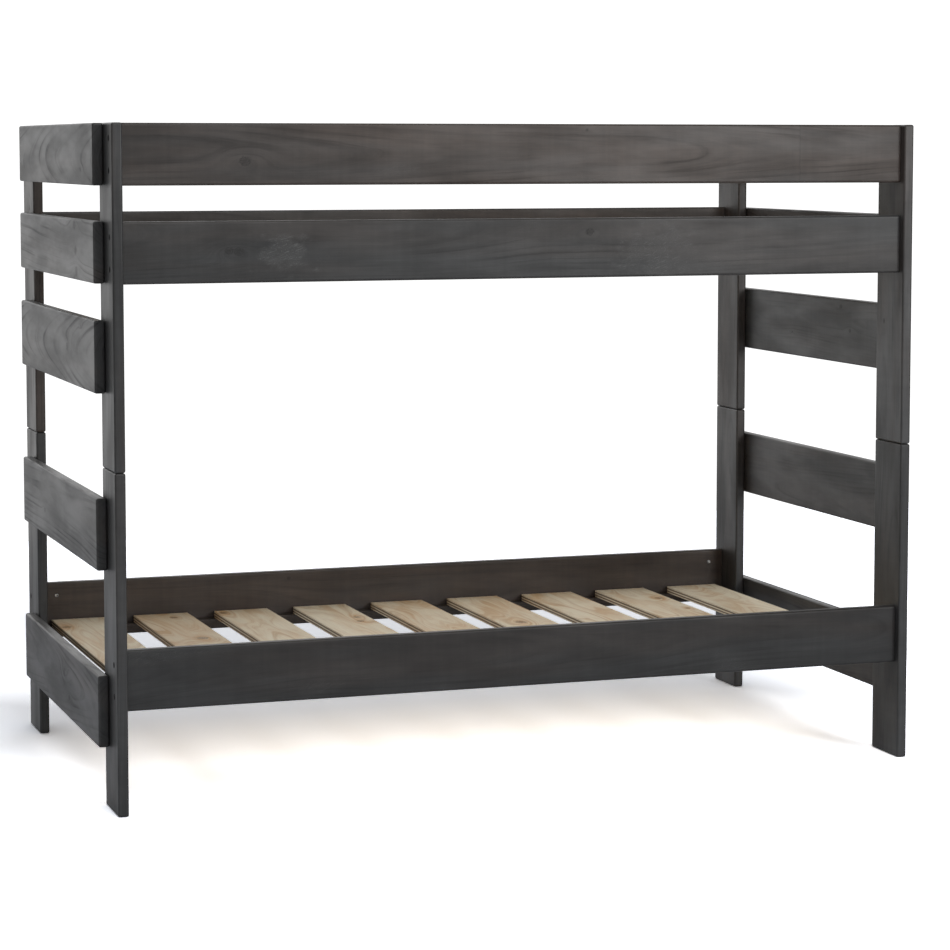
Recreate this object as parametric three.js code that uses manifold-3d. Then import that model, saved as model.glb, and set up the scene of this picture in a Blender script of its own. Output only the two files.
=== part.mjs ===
// Bunk bed: two plank beds stacked on steel pins, with the end boards as the ladder.
// X runs along the bed from its left end to its right end, Y from its front to its back, and Z up.
// The origin is on the floor, under the middle of the bed. Sizes are in millimetres.

import * as THREE from 'three';
import { mergeVertices } from 'three/addons/utils/BufferGeometryUtils.js';
import Module from 'manifold-3d';

const wasm = await Module();
wasm.setup();

// Space for each mattress
const bayLength = 1930; // between the inner faces of the posts
const bayWidth = 1026; // between the inner faces of the rails

// Posts: each corner is a lower and an upper post, end to end
const postThickness = 25;
const postWidth = 140;
const postHeight = 780.5;

// Rails, along the front and the back
const railThickness = 25;
const railHeight = 140;
const railInset = 20; // from the edge of a post to the outer face of a rail
const lowerRailRise = 237; // from the foot of a post to the bottom of its rail
const guardDrop = 0.5; // from the top of a post to the top of the guard rail
const guardGap = 80; // from the upper bed rail up to the guard rail

// End boards, on the outer faces of the posts
const boardThickness = 25;
const boardInset = 88; // from the edge of a post to the end of a board
const guardBoardHeight = 140;
const rungBoardHeight = 165;
const lowerRungRise = 144; // from the foot of a post to the bottom of the board
const middleRungDrop = 65.5; // from the top of a post to the top of the board
const upperRungGap = 83; // from the board up to the bed end board

// Ledgers and slats
const ledgerWidth = 25;
const ledgerHeight = 25;
const ledgerEndGap = 3; // from the end of a ledger to the post
const slatCount = 9;
const slatWidth = 145;
const slatThickness = 18;
const slatSideGap = 5; // from the end of a slat to the rail
const slatEndGap = 24.5; // from the first slat to the post

// Rail bolts and their barrel nuts
const boltDiameter = 6;
const boltHeadDiameter = 13;
const boltHeadHeight = 4.5;
const boltSocketWidth = 5; // across the flats
const boltSocketDepth = 3;
const boltTail = 9; // from the middle of the nut to the tip of the bolt
const boltEdge = 34; // from the edge of a rail to the bolt's axis
const counterboreDepth = 8;
const nutDiameter = 10;
const nutLength = 18;
const nutRecess = 0.5; // below the inner face of the rail
const nutBack = 40; // from the end of a rail to the nut's axis
const nutSlotWidth = 1.6;
const nutSlotDepth = 1.2;

// Pins that keep the upper bed on the lower one
const pinDiameter = 10;
const pinLength = 60;
const pinTipChamfer = 1.5;

// Fits and edges
const contactGap = 0.3; // between faces that touch
const drillClearance = 0.5; // round a bolt, a nut or a pin
const counterboreClearance = 1; // round a bolt head
const holeEndClearance = 1.5; // past the end of a bolt, a nut or a pin
const plankEdgeRadius = 4;
const stripEdgeRadius = 2;
const edgeSegments = 2;
const roundSegments = 12;

// Places that follow from the sizes
const postX = (bayLength + postThickness) / 2;
const boardX = bayLength / 2 + postThickness + contactGap + boardThickness / 2;
const railY = (bayWidth + railThickness) / 2;
const bedDepth = bayWidth + 2 * (railThickness + railInset);
const postY = (bedDepth - postWidth) / 2;
const upperBedZ = postHeight + contactGap;
const guardRise = postHeight - guardDrop - railHeight;
const guardBoardRise = postHeight - guardDrop - guardBoardHeight;
const upperRailRise = guardRise - guardGap - railHeight;
const upperRungRise = upperRailRise - upperRungGap - rungBoardHeight;
const middleRungRise = postHeight - middleRungDrop - rungBoardHeight;
const nutX = bayLength / 2 - contactGap - nutBack;
const pinFootZ = (upperBedZ + postHeight - pinLength) / 2;

// Sides of the bed: the end at -X is the left one, the side at -Y the front one
const ends = [['left', -1], ['right', 1]];
const sides = [['front', -1], ['back', 1]];
const boltLevels = [['low', -1], ['high', 1]];

// What each bed is made of; a rise is measured from the foot of that bed's posts
const beds = [
  {
    name: 'lower',
    footZ: 0,
    rails: [{ name: 'lower_bed_rail', rise: lowerRailRise }],
    boards: [
      { name: 'lower_rung_board', rise: lowerRungRise, height: rungBoardHeight },
      { name: 'middle_rung_board', rise: middleRungRise, height: rungBoardHeight },
    ],
  },
  {
    name: 'upper',
    footZ: upperBedZ,
    rails: [
      { name: 'upper_bed_rail', rise: upperRailRise },
      { name: 'guard_rail', rise: guardRise },
    ],
    boards: [
      { name: 'upper_rung_board', rise: upperRungRise, height: rungBoardHeight },
      { name: 'bed_end_board', rise: upperRailRise, height: guardBoardHeight },
      { name: 'guard_end_board', rise: guardBoardRise, height: guardBoardHeight },
    ],
  },
];

const finishes = {
  stainedPine: { color: 0x45423f, roughness: 0.6, metalness: 0 },
  plywood: { color: 0xc6b08a, roughness: 0.7, metalness: 0 },
  zincSteel: { color: 0xb4b6b8, roughness: 0.35, metalness: 0.9 },
};

function addPiece(parent, name, geometry, finish, position = [0, 0, 0]) {
  const mesh = new THREE.Mesh(geometry, new THREE.MeshStandardMaterial(finish));
  mesh.name = name;
  mesh.position.set(...position);
  parent.add(mesh);
}

// Solids for cutting

function toSolid(geometry) {
  const bare = geometry.clone();
  bare.deleteAttribute('normal');
  bare.deleteAttribute('uv');
  const merged = mergeVertices(bare);
  return new wasm.Manifold(new wasm.Mesh({
    numProp: 3,
    vertProperties: new Float32Array(merged.attributes.position.array),
    triVerts: new Uint32Array(merged.index.array),
  }));
}

function toGeometry(solid) {
  const { vertProperties, triVerts } = solid.getMesh();
  const geometry = new THREE.BufferGeometry();
  geometry.setAttribute('position', new THREE.BufferAttribute(vertProperties, 3));
  geometry.setIndex(new THREE.BufferAttribute(triVerts, 1));
  const faceted = geometry.toNonIndexed();
  faceted.computeVertexNormals();
  return faceted;
}

function cut(geometry, tools) {
  let solid = toSolid(geometry);
  for (const tool of tools) solid = solid.subtract(toSolid(tool));
  return toGeometry(solid);
}

// A round tool or peg, centred on a point, along X, Y or Z
function roundBar(axis, diameter, length, centre) {
  const bar = new THREE.CylinderGeometry(diameter / 2, diameter / 2, length, roundSegments);
  if (axis === 'x') bar.rotateZ(Math.PI / 2);
  if (axis === 'z') bar.rotateX(Math.PI / 2);
  return bar.translate(...centre);
}

// A plank centred on the origin: a rounded section, first size across, second size up, drawn along an axis
function plank(axis, length, across, up, radius) {
  const x = across / 2;
  const y = up / 2;
  const section = new THREE.Shape();
  section.absarc(x - radius, y - radius, radius, 0, Math.PI / 2);
  section.absarc(radius - x, y - radius, radius, Math.PI / 2, Math.PI);
  section.absarc(radius - x, radius - y, radius, Math.PI, 1.5 * Math.PI);
  section.absarc(x - radius, radius - y, radius, 1.5 * Math.PI, 2 * Math.PI);
  const drawn = { depth: length, bevelEnabled: false, curveSegments: edgeSegments };
  const geometry = new THREE.ExtrudeGeometry(section, drawn).translate(0, 0, -length / 2);
  if (axis === 'x') geometry.rotateX(Math.PI / 2).rotateZ(Math.PI / 2);
  if (axis === 'y') geometry.rotateX(Math.PI / 2);
  return geometry;
}

// Heights of a rail's two bolts, above the bottom of the rail
function boltRise(level) {
  return railHeight / 2 + level * (railHeight / 2 - boltEdge);
}

// A post, drilled for the bolts of its rails and for its stacking pin
function post(bed, endSign, sideSign) {
  const foot = [endSign * postX, sideSign * postY, bed.footZ];
  const tools = [];
  const outerFace = endSign * (postX + postThickness / 2);
  for (const rail of bed.rails) {
    for (const [, level] of boltLevels) {
      const y = sideSign * railY;
      const z = bed.footZ + rail.rise + boltRise(level);
      const through = boltDiameter + 2 * drillClearance;
      const counterbore = boltHeadDiameter + 2 * counterboreClearance;
      tools.push(roundBar('x', through, 2 * postThickness, [foot[0], y, z]));
      tools.push(roundBar('x', counterbore, 2 * counterboreDepth, [outerFace, y, z]));
    }
  }
  const pinHole = pinLength + 2 * holeEndClearance;
  const pinMiddle = [foot[0], foot[1], pinFootZ + pinLength / 2];
  tools.push(roundBar('z', pinDiameter + 2 * drillClearance, pinHole, pinMiddle));
  const body = plank('z', postHeight, postThickness, postWidth, plankEdgeRadius);
  return cut(body.translate(foot[0], foot[1], foot[2] + postHeight / 2), tools);
}

// A rail, drilled from its ends for the bolts and from its inner face for the barrel nuts
function rail(bed, rise, sideSign) {
  const bottom = bed.footZ + rise;
  const y = sideSign * railY;
  const innerFace = sideSign * (bayWidth / 2);
  const tools = [];
  for (const [, endSign] of ends) {
    for (const [, level] of boltLevels) {
      const z = bottom + boltRise(level);
      const endFace = endSign * bayLength / 2;
      const boltDepth = nutBack + boltTail + holeEndClearance;
      const nutDepth = nutRecess + nutLength + holeEndClearance;
      tools.push(roundBar('x', boltDiameter + 2 * drillClearance, 2 * boltDepth, [endFace, y, z]));
      const nutMouth = [endSign * nutX, innerFace, z];
      tools.push(roundBar('y', nutDiameter + 2 * drillClearance, 2 * nutDepth, nutMouth));
    }
  }
  const body = plank('x', bayLength - 2 * contactGap, railThickness, railHeight, plankEdgeRadius);
  return cut(body.translate(0, y, bottom + railHeight / 2), tools);
}

function endBoard(bed, board, endSign) {
  const body = plank('y', bedDepth - 2 * boardInset, boardThickness, board.height, plankEdgeRadius);
  return body.translate(endSign * boardX, 0, bed.footZ + board.rise + board.height / 2);
}

function ledger(bed, sideSign) {
  const y = sideSign * (bayWidth / 2 - contactGap - ledgerWidth / 2);
  const body = plank('x', bayLength - 2 * ledgerEndGap, ledgerWidth, ledgerHeight, stripEdgeRadius);
  return body.translate(0, y, bed.footZ + bed.rails[0].rise + ledgerHeight / 2);
}

function slat(bed, index) {
  const firstX = -bayLength / 2 + slatEndGap + slatWidth / 2;
  const pitch = -2 * firstX / (slatCount - 1);
  const z = bed.footZ + bed.rails[0].rise + ledgerHeight + contactGap + slatThickness / 2;
  const body = plank('y', bayWidth - 2 * slatSideGap, slatWidth, slatThickness, stripEdgeRadius);
  return body.translate(firstX + index * pitch, 0, z);
}

// A pin that stands in a lower post and enters the upper one
function stackingPin(endSign, sideSign) {
  const radius = pinDiameter / 2;
  const profile = [
    new THREE.Vector2(0, 0),
    new THREE.Vector2(radius - pinTipChamfer, 0),
    new THREE.Vector2(radius, pinTipChamfer),
    new THREE.Vector2(radius, pinLength - pinTipChamfer),
    new THREE.Vector2(radius - pinTipChamfer, pinLength),
    new THREE.Vector2(0, pinLength),
  ];
  const body = new THREE.LatheGeometry(profile, roundSegments).rotateX(Math.PI / 2);
  return body.translate(endSign * postX, sideSign * postY, pinFootZ);
}

// A socket-head bolt along X, its head in the post's counterbore and its tip past the nut
function railBolt(endSign, y, z) {
  const headFloor = bayLength / 2 + postThickness - counterboreDepth;
  const tip = nutX - boltTail;
  const headTop = headFloor + boltHeadHeight;
  const radius = boltDiameter / 2;
  const headRadius = boltHeadDiameter / 2;
  const profile = [
    new THREE.Vector2(0, tip),
    new THREE.Vector2(radius - 1, tip),
    new THREE.Vector2(radius, tip + 1),
    new THREE.Vector2(radius, headFloor + contactGap),
    new THREE.Vector2(headRadius, headFloor + contactGap),
    new THREE.Vector2(headRadius, headTop),
    new THREE.Vector2(0, headTop),
  ];
  const socketRadius = boltSocketWidth / Math.sqrt(3);
  const socket = new THREE.CylinderGeometry(socketRadius, socketRadius, 2 * boltSocketDepth, 6);
  socket.translate(0, headTop, 0);
  const bolt = cut(new THREE.LatheGeometry(profile, roundSegments), [socket]);
  return bolt.rotateZ(-endSign * Math.PI / 2).translate(0, y, z);
}

// A barrel nut across the rail, with a cross hole for the bolt and a slot in its face
function barrelNut(endSign, sideSign, z) {
  const x = endSign * nutX;
  const face = sideSign * (bayWidth / 2 + nutRecess);
  const body = roundBar('y', nutDiameter, nutLength, [x, face + sideSign * nutLength / 2, z]);
  const hole = roundBar('x', boltDiameter + 2 * drillClearance, 2 * nutDiameter, [x, sideSign * railY, z]);
  const slot = new THREE.BoxGeometry(2 * nutDiameter, 2 * nutSlotDepth, nutSlotWidth);
  return cut(body, [hole, slot.translate(x, face, z)]);
}

// Builders for each group of pieces

function addPosts(group, bed) {
  for (const [end, endSign] of ends) {
    for (const [side, sideSign] of sides) {
      const name = `${bed.name}_post_${side}_${end}`;
      addPiece(group, name, post(bed, endSign, sideSign), finishes.stainedPine);
    }
  }
}

function addRails(group, bed) {
  for (const { name, rise } of bed.rails) {
    for (const [side, sideSign] of sides) {
      addPiece(group, `${name}_${side}`, rail(bed, rise, sideSign), finishes.stainedPine);
    }
  }
}

function addEndBoards(group, bed) {
  for (const board of bed.boards) {
    for (const [end, endSign] of ends) {
      addPiece(group, `${board.name}_${end}`, endBoard(bed, board, endSign), finishes.stainedPine);
    }
  }
}

function addDeck(group, bed) {
  for (const [side, sideSign] of sides) {
    addPiece(group, `${bed.name}_ledger_${side}`, ledger(bed, sideSign), finishes.stainedPine);
  }
  for (let index = 0; index < slatCount; index += 1) {
    addPiece(group, `${bed.name}_slat_${index + 1}`, slat(bed, index), finishes.plywood);
  }
}

function addStackingPins(group) {
  for (const [end, endSign] of ends) {
    for (const [side, sideSign] of sides) {
      addPiece(group, `stacking_pin_${side}_${end}`, stackingPin(endSign, sideSign), finishes.zincSteel);
    }
  }
}

// The bolts and nuts of the lower bed's back rail; the other rails have the same ones
function addRailFasteners(group, bed) {
  for (const [end, endSign] of ends) {
    for (const [levelName, level] of boltLevels) {
      const z = bed.footZ + bed.rails[0].rise + boltRise(level);
      const place = `back_${end}_${levelName}`;
      addPiece(group, `rail_bolt_${place}`, railBolt(endSign, railY, z), finishes.zincSteel);
      addPiece(group, `barrel_nut_${place}`, barrelNut(endSign, 1, z), finishes.zincSteel);
    }
  }
}

function buildBunkBed() {
  const bunkBed = new THREE.Group();
  for (const bed of beds) {
    const group = new THREE.Group();
    addPosts(group, bed);
    addRails(group, bed);
    addEndBoards(group, bed);
    addDeck(group, bed);
    bunkBed.add(group);
  }
  addStackingPins(bunkBed);
  addRailFasteners(bunkBed, beds[0]);
  return bunkBed;
}

export default buildBunkBed();
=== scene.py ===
"""A bunk bed of charcoal-stained pine planks with loose plywood slats.

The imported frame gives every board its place. Each board is shaped again with eased edges and drilled
holes, and carries the growth figure of its own piece of timber, which the finishes read.
"""

from __future__ import annotations

import logging
import math
import random
from dataclasses import dataclass, field, replace
from enum import Enum

import bmesh
import bpy
from mathutils import Matrix, Vector

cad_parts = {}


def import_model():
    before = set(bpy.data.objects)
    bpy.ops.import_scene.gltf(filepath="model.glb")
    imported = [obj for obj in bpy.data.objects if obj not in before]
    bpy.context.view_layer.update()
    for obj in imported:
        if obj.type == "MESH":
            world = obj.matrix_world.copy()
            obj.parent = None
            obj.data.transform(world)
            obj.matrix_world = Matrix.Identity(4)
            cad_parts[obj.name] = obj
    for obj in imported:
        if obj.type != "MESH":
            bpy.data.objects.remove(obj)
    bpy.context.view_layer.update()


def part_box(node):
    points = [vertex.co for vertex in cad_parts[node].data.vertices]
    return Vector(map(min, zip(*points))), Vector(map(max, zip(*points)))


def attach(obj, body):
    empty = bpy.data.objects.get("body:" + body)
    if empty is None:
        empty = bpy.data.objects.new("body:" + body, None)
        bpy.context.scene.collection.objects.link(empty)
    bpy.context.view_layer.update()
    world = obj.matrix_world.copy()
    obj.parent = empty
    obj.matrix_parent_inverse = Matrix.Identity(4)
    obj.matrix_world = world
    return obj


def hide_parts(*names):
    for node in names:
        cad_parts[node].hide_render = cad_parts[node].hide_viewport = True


LOG = logging.getLogger("bunk_bed")

PLACE = "board_place"
HALF = "board_half"
HEART = "board_heart"
GROWTH = "board_growth"
LOOK = "board_look"
KNOTS = ("board_knot_a", "board_knot_b", "board_knot_c")
SCUFFS = ("board_scuff_a", "board_scuff_b")
NOWHERE = 9.0  # a place that no board reaches
BED_BODIES = {"lower": "lower_bed", "upper": "upper_bed"}
SIDES = {"front": -1.0, "back": 1.0}
ENDS = {"left": -1.0, "right": 1.0}
UPWARDS = (0.0, 0.0, 1.0)

Colour = tuple[float, float, float]
Point = tuple[float, float, float]
Profile = list[tuple[float, float]]


class Axis(Enum):
    """A row axis, as an index into a vector."""

    X = 0
    Y = 1
    Z = 2


class Slot(Enum):
    """Material slots of the record."""

    PINE = "stained_pine"
    PLYWOOD = "plywood"
    STEEL = "zinc_steel"


# Timber: where the heart of the tree ran beside each board, and the board's knots


@dataclass(frozen=True)
class Spot:
    """A knot or a chalky scuff on a board: its place along and across the board, and its radius."""

    along: float
    across: float
    radius: float


@dataclass(frozen=True)
class Timber:
    """The growth figure of one board.

    Attributes:
        pith_across: offset of the tree's heart from the middle of the board, across its width.
        pith_depth: offset of the heart from the middle of the board, through its thickness.
        seed: what tells this board's figure from the others'.
        ring: mean width of a growth ring.
        taper: how fast the rings run out of the board's face, which draws the arches.
        splice: place along the board of a finger joint, or NOWHERE.
        tone: lightness of the stain on this board, where 1 is the usual one.
        warmth: how brown the stain is, from 0 to 1.
        strength: how clearly the figure shows.
        knots: up to three knots.
        scuffs: up to two places that are rubbed.
    """

    pith_across: float = 0.0
    pith_depth: float = 0.05
    seed: float = 0.0
    ring: float = 0.006
    taper: float = 0.03
    splice: float = NOWHERE
    tone: float = 1.0
    warmth: float = 0.4
    strength: float = 0.6
    knots: tuple[Spot, ...] = ()
    scuffs: tuple[Spot, ...] = ()

    @staticmethod
    def sawn(name: str, length: float, width: float) -> Timber:
        """Picks an ordinary figure for a board.

        Args:
            name: the board's name, which settles its figure.
            length: the board's length.
            width: the board's width.

        Returns:
            The figure.
        """
        pick = random.Random(name)
        knots = tuple(
            Spot(
                along=pick.uniform(-0.45, 0.45) * length,
                across=pick.uniform(-0.4, 0.4) * width,
                radius=pick.uniform(0.004, 0.010),
            )
            for _ in range(pick.choice((0, 0, 1, 1, 2, 3)))
        )
        return Timber(
            pith_across=pick.uniform(-0.3, 0.3) * width,
            pith_depth=pick.choice((-1.0, 1.0)) * pick.uniform(0.03, 0.09),
            seed=pick.uniform(0.0, 50.0),
            ring=pick.uniform(0.0045, 0.008),
            taper=pick.choice((-1.0, 1.0)) * pick.uniform(0.008, 0.06),
            tone=pick.uniform(0.92, 1.08),
            warmth=pick.uniform(0.1, 0.7),
            strength=pick.uniform(0.4, 0.75),
            knots=knots,
        )


CHOSEN_TIMBER = {
    "guard_end_board_left": Timber(
        pith_across=-0.012, pith_depth=0.075, seed=3.1, ring=0.016, taper=0.12, tone=0.9, warmth=0.0,
        strength=0.9, knots=(Spot(-0.33, -0.035, 0.005),),
    ),
    "bed_end_board_left": Timber(
        pith_across=0.09, pith_depth=0.06, seed=8.4, ring=0.014, taper=0.03, tone=1.05, warmth=0.0,
        strength=0.7,
        knots=(Spot(-0.25, 0.058, 0.012), Spot(-0.262, -0.002, 0.010), Spot(-0.27, -0.05, 0.011)),
    ),
    "upper_rung_board_left": Timber(
        pith_across=0.004, pith_depth=0.07, seed=12.7, ring=0.015, taper=0.13, tone=0.86, warmth=0.0,
        strength=0.9, knots=(Spot(-0.147, 0.004, 0.010), Spot(-0.316, 0.06, 0.004)),
    ),
    "middle_rung_board_left": Timber(
        pith_across=0.03, pith_depth=0.03, seed=21.3, ring=0.011, taper=0.02, tone=0.88, warmth=0.0,
        strength=0.85, knots=(Spot(0.17, -0.02, 0.006),),
    ),
    "lower_rung_board_left": Timber(
        pith_across=0.01, pith_depth=0.05, seed=27.9, ring=0.012, taper=-0.07, tone=0.95, warmth=0.0,
        strength=0.85, knots=(Spot(-0.06, 0.02, 0.010), Spot(-0.12, -0.03, 0.007)),
    ),
    "guard_rail_front": Timber(
        pith_across=0.004, pith_depth=0.10, seed=33.2, ring=0.0075, taper=0.022, splice=0.694, tone=0.9,
        warmth=0.8, strength=0.6, knots=(Spot(-0.682, -0.016, 0.0105), Spot(0.144, 0.056, 0.003)),
    ),
    "upper_bed_rail_front": Timber(
        pith_across=0.05, pith_depth=-0.12, seed=41.8, ring=0.007, taper=0.02, tone=0.74, warmth=0.08,
        strength=0.4,
        knots=(Spot(-0.72, 0.002, 0.0075), Spot(-0.697, 0.0, 0.009), Spot(0.152, 0.037, 0.008)),
        scuffs=(Spot(-0.59, -0.005, 0.05), Spot(0.33, -0.01, 0.075)),
    ),
    "lower_bed_rail_front": Timber(
        pith_across=0.02, pith_depth=0.11, seed=46.5, ring=0.006, taper=0.02, tone=0.6, warmth=0.12,
        strength=0.4,
    ),
    "lower_bed_rail_back": Timber(
        pith_across=-0.01, pith_depth=0.09, seed=5.5, ring=0.007, taper=0.012, tone=0.88, warmth=1.0,
        strength=0.5, knots=(Spot(-0.3, 0.05, 0.004),),
    ),
    "upper_bed_rail_back": Timber(
        pith_across=0.03, pith_depth=0.09, seed=9.5, ring=0.007, taper=0.012, tone=1.1, warmth=0.6,
        strength=0.4,
    ),
    "upper_rung_board_right": Timber(
        pith_across=0.02, pith_depth=-0.06, seed=15.5, ring=0.006, taper=0.02, tone=0.98, warmth=0.2,
        strength=0.3,
        knots=(Spot(-0.169, 0.062, 0.006), Spot(-0.222, 0.003, 0.005), Spot(0.12, -0.02, 0.003)),
    ),
    "middle_rung_board_right": Timber(
        pith_across=-0.04, pith_depth=-0.08, seed=18.5, ring=0.006, taper=0.03, tone=0.95, warmth=0.2,
        strength=0.35,
    ),
    "upper_post_front_right": Timber(
        pith_across=0.03, pith_depth=0.06, seed=23.5, ring=0.007, taper=0.01, tone=1.12, warmth=0.1,
        strength=0.35, knots=(Spot(-0.093, 0.029, 0.005),),
    ),
    "lower_post_front_left": Timber(
        pith_across=-0.02, pith_depth=0.07, seed=30.5, ring=0.007, taper=0.012, tone=0.95, warmth=0.0,
        strength=0.4,
    ),
    "upper_post_front_left": Timber(
        pith_across=0.04, pith_depth=-0.06, seed=31.5, ring=0.006, taper=0.01, tone=0.95, warmth=0.05,
        strength=0.4,
    ),
    "lower_post_back_left": Timber(
        pith_across=0.01, pith_depth=0.05, seed=35.2, ring=0.007, taper=0.02, tone=0.95, warmth=0.1,
        strength=0.4,
    ),
    "lower_post_front_right": Timber(
        pith_across=-0.03, pith_depth=0.08, seed=37.5, ring=0.006, taper=0.01, tone=0.95, warmth=0.05,
        strength=0.4,
    ),
    "lower_slat_1": Timber(seed=61.0, tone=0.98, warmth=0.2, knots=(Spot(0.383, -0.056, 0.012),)),
    "lower_slat_2": Timber(
        seed=62.3, tone=0.92, warmth=0.85, knots=(Spot(0.11, 0.018, 0.014), Spot(0.44, 0.02, 0.010)),
    ),
    "lower_slat_3": Timber(seed=63.9, warmth=0.25, knots=(Spot(0.468, -0.058, 0.012),)),
    "lower_slat_4": Timber(
        seed=64.4, tone=1.04, warmth=0.1, knots=(Spot(0.291, 0.041, 0.009), Spot(0.227, 0.033, 0.010)),
    ),
    "lower_slat_5": Timber(pith_across=0.015, seed=65.8, tone=1.04, warmth=0.6, strength=1.0),
    "lower_slat_6": Timber(seed=66.1, tone=1.05, warmth=0.45, knots=(Spot(0.077, -0.013, 0.014),)),
    "lower_slat_7": Timber(seed=67.7, tone=1.07, warmth=0.45),
    "lower_slat_8": Timber(
        seed=68.2, tone=1.08, warmth=0.15, knots=(Spot(0.325, 0.043, 0.011), Spot(0.143, 0.051, 0.006)),
    ),
    "lower_slat_9": Timber(seed=69.6, tone=1.06, warmth=0.2),
}


# Shapes


def place_object(name: str, data: bpy.types.ID) -> bpy.types.Object:
    """Makes an object and links it into the scene.

    Args:
        name: its name.
        data: its mesh, light or camera.

    Returns:
        The object, at the origin.
    """
    made = bpy.data.objects.new(name, data)
    bpy.context.scene.collection.objects.link(made)
    return made


def new_piece(name: str, shape: bmesh.types.BMesh) -> bpy.types.Object:
    """Turns a finished bmesh into a piece with smooth curves and crisp corners.

    Args:
        name: the piece's name.
        shape: the bmesh, which is freed.

    Returns:
        The piece's object, at the origin.
    """
    crisp = math.radians(40.0)
    bmesh.ops.recalc_face_normals(shape, faces=shape.faces)
    for face in shape.faces:
        face.smooth = True
    for edge in shape.edges:
        edge.smooth = len(edge.link_faces) == 2 and edge.calc_face_angle(0.0) < crisp
    mesh = bpy.data.meshes.new(name)
    shape.to_mesh(mesh)
    shape.free()
    return place_object(name, mesh)


def rod(start: float, end: float, radius: float, chamfer: float = 0.0) -> Profile:
    """Draws the profile of a round rod.

    Args:
        start: where it starts, along X.
        end: where it ends.
        radius: its radius.
        chamfer: size of the chamfers at its ends.

    Returns:
        Points as (place along X, radius), the first and the last on the axis.
    """
    rims = [(start, radius), (end, radius)]
    if chamfer:
        tip = radius - chamfer
        rims = [(start, tip), (start + chamfer, radius), (end - chamfer, radius), (end, tip)]
    return [(start, 0.0), *rims, (end, 0.0)]


def turned(profile: Profile, steps: int = 32) -> bmesh.types.BMesh:
    """Turns a profile about the X axis.

    Args:
        profile: points as (place along X, radius), the first and the last on the axis.
        steps: number of facets round the axis.

    Returns:
        The closed solid.
    """
    shape = bmesh.new()
    points = [shape.verts.new((along, radius, 0.0)) for along, radius in profile]
    edges = [shape.edges.new(pair) for pair in zip(points, points[1:])]
    bmesh.ops.spin(
        shape,
        geom=points + edges,
        cent=(0.0, 0.0, 0.0),
        axis=(1.0, 0.0, 0.0),
        dvec=(0.0, 0.0, 0.0),
        angle=2.0 * math.pi,
        steps=steps,
        use_merge=True,
        use_duplicate=False,
    )
    bmesh.ops.remove_doubles(shape, verts=shape.verts, dist=1e-6)
    bmesh.ops.recalc_face_normals(shape, faces=shape.faces)
    return shape


def aimed(place: Point, towards: Point) -> Matrix:
    """Works out the move that points a turned shape somewhere.

    Args:
        place: where its origin goes.
        towards: the direction that its X axis takes.

    Returns:
        The move.
    """
    turn = Vector((1.0, 0.0, 0.0)).rotation_difference(Vector(towards))
    return Matrix.Translation(place) @ turn.to_matrix().to_4x4()


def turned_piece(name: str, profile: Profile, place: Point, towards: Point) -> bpy.types.Object:
    """Turns a profile and points it somewhere.

    Args:
        name: the object's name.
        profile: what to turn.
        place: where its origin goes.
        towards: the direction that its X axis takes.

    Returns:
        The object.
    """
    shape = turned(profile)
    bmesh.ops.transform(shape, matrix=aimed(place, towards), verts=shape.verts)
    return new_piece(name, shape)


def cut(piece: bpy.types.Object, tools: list[bpy.types.Object]) -> None:
    """Cuts tools out of a piece, one after another, and deletes the tools.

    Args:
        piece: the piece to cut.
        tools: solids to take away.
    """
    for tool in tools:
        modifier = piece.modifiers.new("cut", "BOOLEAN")
        modifier.operation = "DIFFERENCE"
        modifier.solver = "EXACT"
        modifier.object = tool
    graph = bpy.context.evaluated_depsgraph_get()
    finished = bpy.data.meshes.new_from_object(piece.evaluated_get(graph))
    piece.modifiers.clear()
    rough, piece.data = piece.data, finished
    bpy.data.meshes.remove(rough)
    for tool in tools:
        blank = tool.data
        bpy.data.objects.remove(tool)
        bpy.data.meshes.remove(blank)
    finished.name = piece.name


def outer(low: float, high: float, side: float) -> float:
    """Picks the face of a box on one side, which is negative or positive."""
    return high if side > 0.0 else low


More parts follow.
